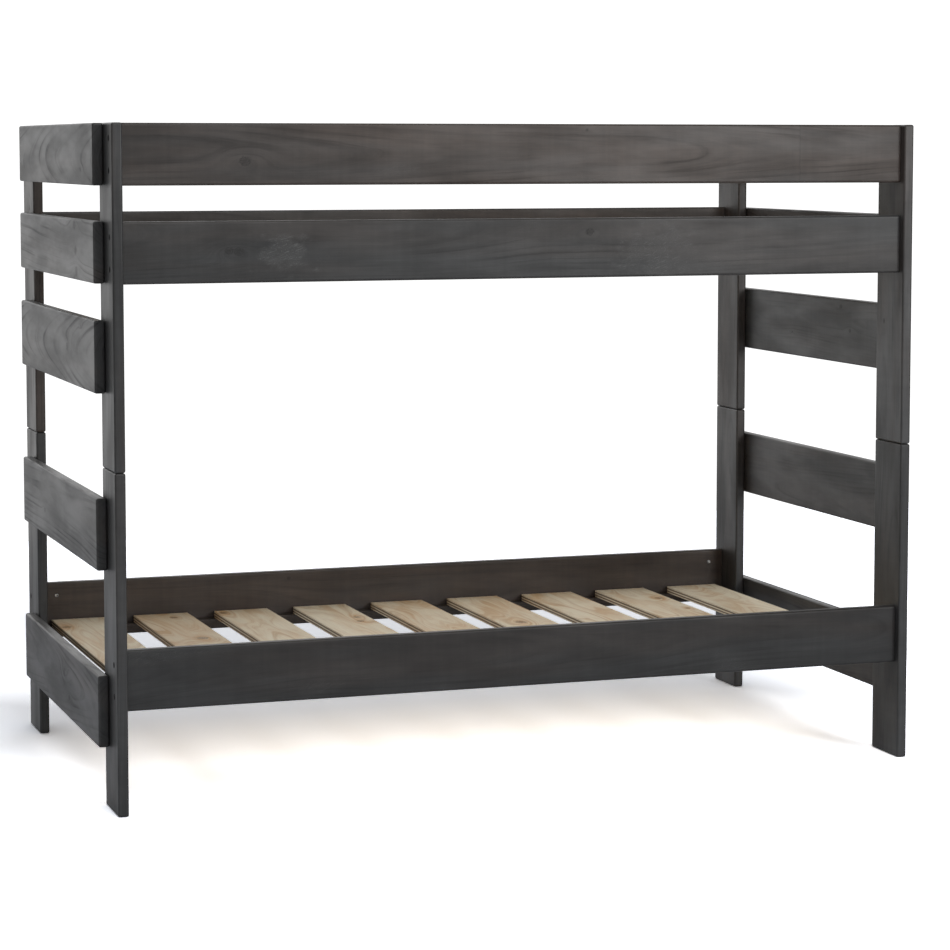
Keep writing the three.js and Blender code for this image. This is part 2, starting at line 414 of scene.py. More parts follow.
@dataclass
class Board:
    """A plank or a strip of sheet, shaped to its node's box.

    Attributes:
        node: the CAD node that it replaces.
        body: the body that it moves with.
        grain: the axis that its grain follows.
        edge_radius: radius of its long edges.
        end_radius: radius round its ends.
        timber: its growth figure, or None for an ordinary one.
        edge_segments: facets across a rounded long edge.
        end_segments: facets across a rounded end.
    """

    node: str
    body: str
    grain: Axis
    edge_radius: float
    end_radius: float
    timber: Timber | None = None
    edge_segments: int = 4
    end_segments: int = 3
    low: Vector = field(init=False)
    high: Vector = field(init=False)

    def __post_init__(self) -> None:
        """Takes the board's box from the frame."""
        self.low, self.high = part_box(self.node)

    @property
    def middle(self) -> Vector:
        """The middle of the board."""
        return (self.low + self.high) / 2.0

    @property
    def size(self) -> Vector:
        """The board's size along each axis."""
        return self.high - self.low

    @property
    def own_axes(self) -> tuple[int, int, int]:
        """The row axes that run along, across and through the board."""
        along = self.grain.value
        rest = sorted((index for index in range(3) if index != along), key=lambda index: -self.size[index])
        return along, rest[0], rest[1]

    def build(self) -> bpy.types.Object:
        """Shapes the board.

        Returns:
            The board's object, with no finish yet.
        """
        along, half = self.grain.value, self.size[self.grain.value] / 2.0
        shape = bmesh.new()
        bmesh.ops.create_cube(shape, size=1.0)
        bmesh.ops.scale(shape, vec=self.size, verts=shape.verts)
        if self.end_radius == self.edge_radius:
            self.ease(shape, list(shape.edges), self.edge_radius, self.edge_segments)
        else:
            long_edges = [
                edge for edge in shape.edges if abs(edge.verts[0].co[along] - edge.verts[1].co[along]) > 1e-4
            ]
            self.ease(shape, long_edges, self.edge_radius, self.edge_segments)
            at_ends = [
                edge for edge in shape.edges
                if all(abs(abs(vert.co[along]) - half) < 1e-5 for vert in edge.verts)
            ]
            self.ease(shape, at_ends, self.end_radius, self.end_segments)
        bmesh.ops.translate(shape, vec=self.middle, verts=shape.verts)
        return new_piece(f"{self.node}_board", shape)

    @staticmethod
    def ease(shape: bmesh.types.BMesh, edges: list[bmesh.types.BMEdge], radius: float, segments: int) -> None:
        """Rounds edges over.

        Args:
            shape: the bmesh that holds the edges.
            edges: the edges to round.
            radius: radius of the rounding.
            segments: facets across the rounding.
        """
        bmesh.ops.bevel(
            shape,
            geom=edges,
            offset=radius,
            offset_type="OFFSET",
            affect="EDGES",
            segments=segments,
            profile=0.5,
            material=-1,
            clamp_overlap=True,
        )

    def finish(self, piece: bpy.types.Object, material: bpy.types.Material, slot: Slot) -> None:
        """Writes the board's figure on its mesh, dresses it and ties it to its body.

        Args:
            piece: the board's object.
            material: its finish.
            slot: the record's slot for that finish; not used.
        """
        axes = self.own_axes
        along, across, _ = axes
        timber = self.timber or Timber.sawn(self.node, self.size[along], self.size[across])
        mesh = piece.data
        middle, half = self.middle, self.size / 2.0
        places = [(vert.co - middle)[axis] for vert in mesh.vertices for axis in axes]
        mesh.attributes.new(PLACE, "FLOAT_VECTOR", "POINT").data.foreach_set("vector", places)
        figure = {
            HALF: tuple(half[axis] for axis in axes),
            HEART: (timber.pith_across, timber.pith_depth, timber.seed),
            GROWTH: (timber.ring, timber.taper, timber.splice),
            LOOK: (timber.tone, timber.warmth, timber.strength),
        }
        for names, spots in ((KNOTS, timber.knots), (SCUFFS, timber.scuffs)):
            spare = (Spot(NOWHERE, NOWHERE, 0.001),) * (len(names) - len(spots))
            for name, spot in zip(names, spots + spare):
                figure[name] = (spot.along, spot.across, spot.radius)
        for name, value in figure.items():
            attribute = mesh.attributes.new(name, "FLOAT_VECTOR", "POINT")
            attribute.data.foreach_set("vector", value * len(mesh.vertices))
        mesh.materials.clear()
        mesh.materials.append(material)
        even = piece.modifiers.new("even_shading", "WEIGHTED_NORMAL")
        even.keep_sharp = True
        even.weight = 90
        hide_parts(self.node)
        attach(piece, self.body)
        LOG.info("%s", self.node)


# Node trees


class Signal:
    """An output of a node tree under construction; arithmetic on it adds math nodes."""

    def __init__(self, bench: Bench, socket: bpy.types.NodeSocket) -> None:
        """Ties a socket to its bench."""
        self.bench, self.socket = bench, socket

    def __add__(self, other: object) -> Signal:
        """Adds a number."""
        return self.bench.math("ADD", self, other)

    def __sub__(self, other: object) -> Signal:
        """Takes a number away."""
        return self.bench.math("SUBTRACT", self, other)

    def __rsub__(self, other: object) -> Signal:
        """Takes this away from a number."""
        return self.bench.math("SUBTRACT", other, self)

    def __mul__(self, other: object) -> Signal:
        """Multiplies by a number."""
        return self.bench.math("MULTIPLY", self, other)

    def __truediv__(self, other: object) -> Signal:
        """Divides by a number."""
        return self.bench.math("DIVIDE", self, other)

    def __abs__(self) -> Signal:
        """Drops the sign."""
        return self.bench.math("ABSOLUTE", self)


class Bench:
    """A node tree under construction, with short calls for the nodes that the finishes use."""

    def __init__(self, tree: bpy.types.NodeTree) -> None:
        """Starts work on a tree."""
        self.tree = tree

    def node(self, kind: str, inputs: dict | None = None, **settings: object) -> bpy.types.Node:
        """Adds a node.

        Args:
            kind: the node's type name.
            inputs: what its inputs take, by name or number.
            **settings: properties to set on it.

        Returns:
            The node.
        """
        node = self.tree.nodes.new(kind)
        for name, value in settings.items():
            setattr(node, name, value)
        for name, value in (inputs or {}).items():
            self.feed(node.inputs[name], value)
        return node

    def feed(self, socket: bpy.types.NodeSocket, value: object) -> None:
        """Links an input to a signal, or sets its own value.

        Args:
            socket: the input.
            value: a signal, or a number, vector or colour.
        """
        if isinstance(value, Signal):
            self.tree.links.new(value.socket, socket)
        else:
            socket.default_value = value

    def read(self, kind: str, output: str | int = 0, inputs: dict | None = None,
             **settings: object) -> Signal:
        """Adds a node and takes one output of it.

        Args:
            kind: the node's type name.
            output: the output's name or number.
            inputs: what its inputs take, by name or number.
            **settings: properties to set on it.

        Returns:
            The output.
        """
        return Signal(self, self.node(kind, inputs, **settings).outputs[output])

    def math(self, operation: str, *values: object, clamp: bool = False) -> Signal:
        """Works out a number.

        Args:
            operation: the math node's operation.
            *values: its operands.
            clamp: whether the result stays between 0 and 1.

        Returns:
            The result.
        """
        inputs = dict(enumerate(values))
        return self.read("ShaderNodeMath", 0, inputs, operation=operation, use_clamp=clamp)

    def vector(self, operation: str, *values: object, output: str = "Vector") -> Signal:
        """Works out a vector, or a number from vectors.

        Args:
            operation: the vector math node's operation.
            *values: its operands.
            output: which of its outputs to take, Vector or Value.

        Returns:
            The result.
        """
        return self.read("ShaderNodeVectorMath", output, dict(enumerate(values)), operation=operation)

    def most(self, first: Signal, *others: Signal) -> Signal:
        """Picks the largest of some numbers.

        Args:
            first: one of them.
            *others: the rest.

        Returns:
            The largest.
        """
        for other in others:
            first = self.math("MAXIMUM", first, other)
        return first

    def split(self, value: Signal) -> tuple[Signal, ...]:
        """Splits a vector into its three numbers."""
        node = self.node("ShaderNodeSeparateXYZ", {0: value})
        return tuple(Signal(self, socket) for socket in node.outputs)

    def join(self, *values: object) -> Signal:
        """Joins three numbers into a vector."""
        return self.read("ShaderNodeCombineXYZ", 0, dict(enumerate(values)))

    def noise(self, place: Signal, scale: float = 1.0, detail: float = 2.0, rough: float = 0.5,
              colour: bool = False) -> Signal:
        """Reads a noise texture.

        Args:
            place: where to read it.
            scale: its scale.
            detail: octaves of detail.
            rough: how strong the finer octaves are.
            colour: whether to take three noises as a colour, instead of one.

        Returns:
            The noise.
        """
        inputs = {"Vector": place, "Scale": scale, "Detail": detail, "Roughness": rough}
        return self.read("ShaderNodeTexNoise", "Color" if colour else 0, inputs, noise_dimensions="3D")

    def range(self, value: object, low: float, high: float, to_low: float = 0.0, to_high: float = 1.0,
              easing: str = "SMOOTHSTEP") -> Signal:
        """Maps one range of numbers onto another, and stays inside it.

        Args:
            value: the number to map.
            low: where the first range starts.
            high: where it ends.
            to_low: where the second range starts.
            to_high: where it ends.
            easing: SMOOTHSTEP, or LINEAR for an even one.

        Returns:
            The mapped number.
        """
        inputs = dict(enumerate((value, low, high, to_low, to_high)))
        return self.read("ShaderNodeMapRange", 0, inputs, interpolation_type=easing)

    def sway(self, value: object, low: float, high: float, by: float, middle: float = 1.0) -> Signal:
        """Maps a range of numbers evenly onto a sway about a middle.

        Args:
            value: the number to map.
            low: where the range starts.
            high: where it ends.
            by: how far the result goes to each side.
            middle: the middle of the result.

        Returns:
            The mapped number.
        """
        return self.range(value, low, high, middle - by, middle + by, "LINEAR")

    def mix(self, share: object, first: Signal | Colour, second: Signal | Colour,
            blend: str = "MIX") -> Signal:
        """Mixes two colours.

        Args:
            share: how much of the second one there is.
            first: the first colour.
            second: the second colour.
            blend: how they mix.

        Returns:
            The mixed colour.
        """
        opaque = [(*colour, 1.0) if isinstance(colour, tuple) else colour for colour in (first, second)]
        inputs = {0: share, 6: opaque[0], 7: opaque[1]}
        return self.read("ShaderNodeMix", 2, inputs, data_type="RGBA", blend_type=blend, clamp_factor=True)

    def dim(self, colour: Signal, level: Signal) -> Signal:
        """Multiplies a colour by a number."""
        return self.mix(1.0, colour, self.join(level, level, level), "MULTIPLY")

    def curve(self, value: Signal, *stops: tuple[float, float]) -> Signal:
        """Reads a number off a line of stops.

        Args:
            value: where to read, from 0 to 1.
            *stops: (place, value) along the line, in order.

        Returns:
            The value there.
        """
        node = self.node("ShaderNodeValToRGB", {0: value})
        elements = node.color_ramp.elements
        while len(elements) < len(stops):
            elements.new(0.5)
        for element, (place, level) in zip(elements, stops):
            element.position = place
            element.color = (level, level, level, 1.0)
        return Signal(self, node.outputs[0])

    def attribute(self, name: str) -> Signal:
        """Reads a vector attribute of the mesh."""
        return self.read("ShaderNodeAttribute", "Vector", attribute_type="GEOMETRY", attribute_name=name)

    def group(self, tree: bpy.types.NodeTree, inputs: dict[str, object]) -> dict[str, Signal]:
        """Places a node group.

        Args:
            tree: the group.
            inputs: what its inputs take, by name.

        Returns:
            Its outputs, by name.
        """
        node = self.node("ShaderNodeGroup", node_tree=tree)
        for name, value in inputs.items():
            self.feed(node.inputs[name], value)
        return {socket.name: Signal(self, socket) for socket in node.outputs}


class GroupBench(Bench):
    """A node group under construction."""

    def __init__(self, name: str, vectors: tuple[str, ...], numbers: tuple[str, ...],
                 results: tuple[str, ...]) -> None:
        """Starts a group.

        Args:
            name: the group's name.
            vectors: names of its inputs that are vectors.
            numbers: names of its inputs that are numbers.
            results: names of its outputs, all of them numbers.
        """
        super().__init__(bpy.data.node_groups.new(name, "ShaderNodeTree"))
        ports = [(label, "INPUT", "NodeSocketVector") for label in vectors]
        ports += [(label, "INPUT", "NodeSocketFloat") for label in numbers]
        ports += [(label, "OUTPUT", "NodeSocketFloat") for label in results]
        for label, way, kind in ports:
            self.tree.interface.new_socket(name=label, in_out=way, socket_type=kind)
        source = self.node("NodeGroupInput")
        self.given = {label: Signal(self, source.outputs[label]) for label in vectors + numbers}
        self.result = self.node("NodeGroupOutput")

    def give(self, **results: Signal) -> bpy.types.NodeTree:
        """Ends the group.

        Args:
            **results: its outputs, by name.

        Returns:
            The group.
        """
        for name, value in results.items():
            self.feed(self.result.inputs[name], value)
        return self.tree


class Finish(Bench):
    """A material under construction."""

    def __init__(self, name: str) -> None:
        """Starts a material with a Principled surface."""
        self.material = bpy.data.materials.new(name)
        self.material.use_nodes = True
        super().__init__(self.material.node_tree)
        self.surface = self.tree.nodes["Principled BSDF"]

    def bump(self, height: Signal, strength: float, depth: float) -> Signal:
        """Adds a bump to the surface.

        Args:
            height: how high the surface stands.
            strength: how much of the bump shows.
            depth: what a height of 1 stands for.

        Returns:
            The bumped normal.
        """
        return self.read("ShaderNodeBump", 0, {"Strength": strength, "Distance": depth, "Height": height})

    def shade(self, inputs: dict[str, object]) -> bpy.types.Material:
        """Feeds the surface.

        Args:
            inputs: what each input of the shader takes.

        Returns:
            The material.
        """
        for name, value in inputs.items():
            self.feed(self.surface.inputs[name], value)
        return self.material


class WoodEffects:
    """Node groups that the wood finishes share, and the measures that they draw with.

    Attributes:
        bend_stretch: how much longer than wide the rings' bend round a knot is.
        bend_reach: how far the bend reaches, in knot radii.
        bend: how far the rings are pushed aside, in knot radii.
        knot_stretch: how much longer than wide a knot is.
        ragged: how uneven a knot's outline is.
        past_splice: what is added to the heart and the seed beyond a finger joint.
        ripple: how far the rings waver.
        scuff_squeeze: how much longer than wide a scuff is, turned over.
        scuff_cloud: how uneven a scuff's outline is.
        slant: how far the scratches of a scuff lean from the grain.
    """

    bend_stretch = 2.4
    bend_reach = 2.3
    bend = 1.5
    knot_stretch = 1.25
    ragged = 2.2
    past_splice = (0.03, -0.02, 7.0)
    ripple = 0.0014
    scuff_squeeze = 0.62
    scuff_cloud = 2.5
    slant = 0.35

    def __init__(self) -> None:
        """Builds each group once."""
        self.knot = self.build_knot()
        self.figure = self.build_figure()
        self.edge_rub = self.build_edge_rub()
        self.blotches = self.build_blotches()

    def build_knot(self) -> bpy.types.NodeTree:
        """One knot: how far it pushes the rings aside, its own disc, its dark rim and its halo."""
        bench = GroupBench("branch_knot", ("Place", "Knot"), ("Uneven",), ("Push", "Disc", "Rim", "Halo"))
        along, across, _ = bench.split(bench.given["Place"])
        knot_along, knot_across, radius = bench.split(bench.given["Knot"])
        uneven = bench.given["Uneven"]
        step_along, step_across = along - knot_along, across - knot_across
        far, near = step_along / self.bend_stretch, step_along / self.knot_stretch
        spread = radius * self.bend_reach
        ratio = (far * far + step_across * step_across) / (spread * spread)
        halo = bench.math("POWER", math.e, ratio * -1.0)
        distance = bench.math("SQRT", near * near + step_across * step_across)
        share = (uneven - 0.5) * self.ragged + distance / radius
        rim = bench.range(abs(share - 0.9), 0.35, 0.02)
        return bench.give(
            Push=halo * (radius * self.bend),
            Disc=bench.range(share, 1.15, 0.25),
            Rim=rim * bench.range(uneven, 0.35, 0.6, 0.2, 1.0),
            Halo=halo,
        )

    def build_figure(self) -> bpy.types.NodeTree:
        """Growth rings round the tree's heart, bent by the knots, and the fine fibre along them."""
        bench = GroupBench(
            "growth_figure",
            ("Place", "Heart", "Growth", "Knot A", "Knot B", "Knot C"),
            ("Wander", "Wave"),
            ("Latewood", "Streak", "Knot", "Rim", "Halo", "Fibre", "Splice"),
        )
        place, wander = bench.given["Place"], bench.given["Wander"]
        along, across, through = bench.split(place)
        ring_width, taper, splice = bench.split(bench.given["Growth"])
        past = bench.math("GREATER_THAN", along, splice)
        beyond = bench.vector("MULTIPLY", bench.join(past, past, past), self.past_splice)
        heart = bench.vector("ADD", bench.given["Heart"], beyond)
        pith_across, pith_through, seed = bench.split(heart)
        slow = bench.join(along * 1.5 + seed, across * 3.4 * bench.given["Wave"], seed)
        drift_across, drift_through, _ = bench.split(bench.noise(slow, detail=1.5, colour=True))
        ripple = bench.noise(bench.join(along * 9.0 + seed, across * 60.0, through))
        uneven = bench.noise(bench.vector("ADD", place, heart), 150.0, 3.0, 0.6)
        knots = [
            bench.group(self.knot, {"Place": place, "Knot": bench.given[f"Knot {letter}"], "Uneven": uneven})
            for letter in "ABC"
        ]
        aside = across - pith_across + (drift_across - 0.5) * wander
        below = through - pith_through + (drift_through - 0.5) * wander
        radius = bench.math("SQRT", aside * aside + below * below) + along * taper
        for knot in knots:
            radius = radius + knot["Push"]
        radius = radius + ripple * self.ripple
        season = bench.math("FRACT", radius / ring_width)
        late = bench.curve(season, (0.0, 0.0), (0.3, 0.06), (0.7, 0.72), (0.86, 1.0), (1.0, 0.0))
        streak = bench.noise(bench.join(along * 2.4 + seed, radius * 230.0, seed), 1.0, 4.0, 0.66)
        patch = bench.noise(bench.join(along * 3.4 + seed, across * 13.0 + seed, through), 1.0, 1.5)
        clear = bench.range(streak, 0.4, 0.64, 0.1, 1.0) * bench.range(patch, 0.38, 0.64, 0.12, 1.0)
        hair = bench.join(along * 12.0 + seed, across * 700.0, through * 700.0)
        return bench.give(
            Latewood=late * clear,
            Streak=streak,
            Knot=bench.most(*(knot["Disc"] for knot in knots)),
            Rim=bench.most(*(knot["Rim"] for knot in knots)),
            Halo=bench.most(*(knot["Halo"] for knot in knots)),
            Fibre=bench.noise(hair, 1.0, 2.0, 0.6),
            Splice=bench.range(abs(along - splice), 0.0016, 0.0004),
        )

    @staticmethod
    def build_edge_rub() -> bpy.types.NodeTree:
        """Where hands and sanding have rubbed a board's edges."""
        bench = GroupBench("edge_rub", ("Place", "Half"), ("Width", "Seed"), ("Rub",))
        place = bench.given["Place"]
        inside = bench.vector("SUBTRACT", bench.given["Half"], bench.vector("ABSOLUTE", place))
        along, across, through = (gap * gap for gap in bench.split(inside))
        nearest = bench.math("MINIMUM", along + across, across + through)
        nearest = bench.math("MINIMUM", nearest, along + through)
        distance = bench.math("SQRT", nearest) / bench.given["Width"]
        shifted = bench.vector("ADD", place, bench.join(bench.given["Seed"], 0.0, 0.0))
        uneven = bench.noise(shifted, 22.0, 3.0, 0.65)
        return bench.give(Rub=bench.range(distance, 1.0, 0.25) * bench.range(uneven, 0.38, 0.68))

    def build_blotches(self) -> bpy.types.NodeTree:
        """Soft patches where wood took more or less stain, marks of wiping, and chalky scuffs."""
        bench = GroupBench(
            "blotches_and_scuffs",
            ("Place", "Scuff A", "Scuff B"),
            ("Seed",),
            ("Blotch", "Warm", "Wipe", "Scuff"),
        )
        along, across, through = bench.split(bench.given["Place"])
        seed = bench.given["Seed"]

        def grained(by_along: float, by_across: float, layer: float, detail: float, rough: float) -> Signal:
            """Reads a noise that is stretched along the grain.

            Args:
                by_along: its scale along the grain.
                by_across: its scale across it and through the board.
                layer: what parts this noise from the others.
                detail: octaves of detail.
                rough: how strong the finer octaves are.

            Returns:
                The noise.
            """
            sideways = (across * by_across + layer, through * by_across + seed)
            return bench.noise(bench.join(along * by_along + seed, *sideways), 1.0, detail, rough)

        region = bench.range(grained(3.2, 11.0, 11.0, 1.0, 0.5), 0.6, 0.78, 0.0, 0.4)
        cloud = (grained(24.0, 42.0, 9.0, 3.0, 0.6) - 0.5) * self.scuff_cloud
        for label in ("Scuff A", "Scuff B"):
            spot_along, spot_across, radius = bench.split(bench.given[label])
            offset = bench.join((along - spot_along) * self.scuff_squeeze, across - spot_across, 0.0)
            share = cloud + bench.vector("LENGTH", offset, output="Value") / radius
            region = bench.most(region, bench.range(share, 1.0, 0.3))
        slanted = bench.join(
            (across * self.slant + along) * 40.0 + seed,
            (along * -self.slant + across) * 330.0,
            through * 330.0,
        )
        scratch = bench.range(bench.noise(slanted, 1.0, 3.0, 0.6), 0.56, 0.68)
        speck = bench.range(grained(330.0, 450.0, 5.0, 2.0, 0.65), 0.56, 0.68)
        return bench.give(
            Blotch=grained(4.0, 14.0, 0.0, 3.0, 0.55),
            Warm=grained(1.1, 9.0, 3.0, 2.5, 0.6),
            Wipe=grained(70.0, 3.5, 7.0, 2.0, 0.5),
            Scuff=region * (bench.most(scratch, speck) * 0.7 + 0.3),
        )

    def lay(self, bench: Bench, wander: float, wave: float) -> dict[str, Signal]:
        """Reads a board's attributes and draws its figure, its patches and its marks.

        Args:
            bench: the finish that needs them.
            wander: how far the rings drift from circles.
            wave: how quickly they drift across the board.

        Returns:
            The attributes Place and Seed, and every output of the two groups, by name.
        """
        place, heart = bench.attribute(PLACE), bench.attribute(HEART)
        seed = bench.split(heart)[2]
        knots = {f"Knot {letter}": bench.attribute(name) for letter, name in zip("ABC", KNOTS)}
        scuffs = {f"Scuff {letter}": bench.attribute(name) for letter, name in zip("AB", SCUFFS)}
        growth = {"Growth": bench.attribute(GROWTH), "Heart": heart, "Wander": wander, "Wave": wave}
        figure = bench.group(self.figure, {"Place": place, **growth, **knots})
        patches = bench.group(self.blotches, {"Place": place, "Seed": seed, **scuffs})
        return {"Place": place, "Seed": seed, **figure, **patches}


@dataclass(frozen=True)
class StainedPine:
    """Knotty pine under a charcoal stain, wiped, with a thin satin coat.

    Attributes:
        cool: colour of the stain where it is coolest.
        warm: colour of the stain where it is brownest.
        knot: colour of a knot.
        rubbed: colour where an edge is rubbed.
        chalk: colour of a scuff.
        late: what late wood multiplies the stain by.
        blotch: how much patches lighten or darken the stain; wipe, fibre and streak do so too.
        halo: how much the wood round a knot is darker; seam does so for a finger joint.
        edge_width: how far from an edge it can be rubbed.
        roughness: of the stained wood.
        coat: weight of the satin coat on open early wood.
        coat_roughness: of the coat.
    """

    cool: Colour = (0.031, 0.0315, 0.032)
    warm: Colour = (0.043, 0.0285, 0.0205)
    knot: Colour = (0.010, 0.009, 0.0085)
    rubbed: Colour = (0.07, 0.066, 0.062)
    chalk: Colour = (0.15, 0.15, 0.148)
    late: float = 0.5
    blotch: float = 0.24
    wipe: float = 0.09
    fibre: float = 0.12
    streak: float = 0.2
    halo: float = 0.14
    seam: float = 0.25
    edge_width: float = 0.005
    roughness: float = 0.5
    coat: float = 0.4
    coat_roughness: float = 0.36

    def build(self, effects: WoodEffects) -> bpy.types.Material:
        """Makes the material.

        Args:
            effects: the shared wood groups.

        Returns:
            The material.
        """
        bench = Finish("charcoal_stained_pine")
        wood = effects.lay(bench, wander=0.035, wave=1.0)
        scuff, blotch = wood["Scuff"], wood["Blotch"]
        tone, warmth, strength = bench.split(bench.attribute(LOOK))
        edge = {"Place": wood["Place"], "Half": bench.attribute(HALF), "Width": self.edge_width}
        rub = bench.group(effects.edge_rub, {**edge, "Seed": wood["Seed"]})["Rub"]
        late = wood["Latewood"] * strength
        knot = bench.most(wood["Knot"] * 0.7, wood["Rim"])
        brown = bench.math("ADD", bench.sway(wood["Warm"], 0.35, 0.65, 0.35, middle=0.0), warmth, clamp=True)
        shade = late * (self.late - 1.0) + 1.0
        for factor in (
            bench.sway(blotch, 0.28, 0.72, self.blotch),
            bench.sway(wood["Wipe"], 0.3, 0.7, self.wipe),
            bench.sway(wood["Fibre"], 0.3, 0.7, self.fibre),
            tone,
            bench.sway(wood["Streak"], 0.3, 0.7, -self.streak),
            wood["Halo"] * -self.halo + 1.0,
            wood["Splice"] * -self.seam + 1.0,
        ):
            shade = shade * factor
        colour = bench.dim(bench.mix(brown, self.cool, self.warm), shade)
        for share, layer in ((knot * 0.7, self.knot), (rub * 0.35, self.rubbed), (scuff * 0.6, self.chalk)):
            colour = bench.mix(share, colour, layer)
        matt = scuff * 0.15 + (late * 0.16 + self.roughness) + bench.range(blotch, 0.3, 0.7, 0.04, -0.04)
        bare = bench.most(late * 0.85, knot, scuff)
        coat = bench.math("SUBTRACT", 1.0, bare, clamp=True) * self.coat * tone
        crack = bench.most(wood["Rim"], wood["Splice"])
        height = wood["Wipe"] * 0.5 + (crack * -0.9 + (wood["Fibre"] * 0.45 + late))
        return bench.shade({
            "Base Color": colour,
            "Roughness": matt,
            "Coat Weight": coat * bench.range(blotch, 0.3, 0.7, 0.6, 1.2),
            "Coat Roughness": self.coat_roughness,
            "Specular IOR Level": 0.36,
            "Normal": bench.bump(height, 0.35, 0.0005),
        })


@dataclass(frozen=True)
class SlatPlywood:
    """Bare five-ply softwood plywood.

    Attributes:
        early: colour of the early wood of the face veneer.
        late: colour of its late wood.
        honey: colour where it has yellowed.
        knot: colour of a knot.
        cross_ply: colour of the two plies whose end grain shows at the edge.
        ply: thickness of one ply.
        fibre: how much the fibre lightens or darkens it.
    """

    early: Colour = (0.9, 0.8, 0.61)
    late: Colour = (0.60, 0.42, 0.24)
    honey: Colour = (0.66, 0.41, 0.19)
    knot: Colour = (0.13, 0.052, 0.022)
    cross_ply: Colour = (0.15, 0.08, 0.045)
    ply: float = 0.0036
    fibre: float = 0.07

    def build(self, effects: WoodEffects) -> bpy.types.Material:
        """Makes the material.

        Args:
            effects: the shared wood groups.

        Returns:
            The material.
        """
        bench = Finish("slat_plywood")
        wood = effects.lay(bench, wander=0.12, wave=2.3)
        level, warmth, strength = bench.split(bench.attribute(LOOK))
        streak = bench.range(wood["Streak"], 0.45, 0.7, 0.0, 0.45)
        late = bench.math("ADD", wood["Latewood"] * strength, streak, clamp=True)
        yellowed = bench.range(wood["Blotch"], 0.35, 0.65, -0.35, 0.5)
        warm = bench.math("ADD", yellowed, warmth, clamp=True) * 0.7
        warm = bench.math("MAXIMUM", warm, wood["Halo"] * 1.2, clamp=True)
        warm = warm * bench.range(wood["Streak"], 0.35, 0.6, 0.45, 1.0)
        colour = bench.mix(warm, bench.mix(late, self.early, self.late), self.honey)
        colour = bench.dim(colour, level * bench.sway(wood["Fibre"], 0.3, 0.7, self.fibre))
        knot = bench.most(wood["Knot"] * 0.75, wood["Rim"])
        from_cross = abs(abs(bench.split(wood["Place"])[2]) - self.ply)
        stripe = bench.range(from_cross, self.ply * 0.5, self.ply * 0.4)
        for share, layer in ((knot * 0.8, self.knot), (stripe * 0.9, self.cross_ply)):
            colour = bench.mix(share, colour, layer)
        height = wood["Fibre"] * 0.6 + wood["Latewood"]
        return bench.shade({
            "Base Color": colour,
            "Roughness": bench.range(wood["Fibre"], 0.2, 0.8, 0.58, 0.72),
            "Normal": bench.bump(height, 0.3, 0.0004),
        })


@dataclass(frozen=True)
class ZincSteel:
    """Zinc-plated steel of the bolts, nuts and pins.

    Attributes:
        colour: of the bright plating.
        stain: of its duller clouds.
        scratches: how fine the scratches are along each axis.
    """

    colour: Colour = (0.62, 0.63, 0.64)
    stain: Colour = (0.42, 0.42, 0.41)
    scratches: tuple[float, float, float] = (900.0, 2600.0, 900.0)

    def build(self) -> bpy.types.Material:
        """Makes the material.

        Returns:
            The material.
        """
        bench = Finish("zinc_plated_steel")
        place = bench.read("ShaderNodeTexCoord", "Object")
        cloud = bench.noise(place, 260.0, 3.0, 0.6)
        scratch = bench.noise(bench.vector("MULTIPLY", place, self.scratches))
        return bench.shade({
            "Metallic": 1.0,
            "Base Color": bench.mix(bench.range(cloud, 0.4, 0.75), self.colour, self.stain),
            "Roughness": bench.range(cloud, 0.3, 0.7, 0.24, 0.42),
            "Normal": bench.bump(scratch, 0.2, 0.00005),
        })


# Hardware


@dataclass(frozen=True)
class Fastening:
    """One bolt of a rail, with its nut.

    Attributes:
        place: its end and level.
        bolt_way: the direction that the bolt points in.
        bolt_mouth: the middle of its hole in the rail's end.
        nut_way: the direction that the nut points in.
        nut_mouth: the middle of its hole in the rail's inner face.
    """

    place: str
    bolt_way: Point
    bolt_mouth: Point
    nut_way: Point
    nut_mouth: Point


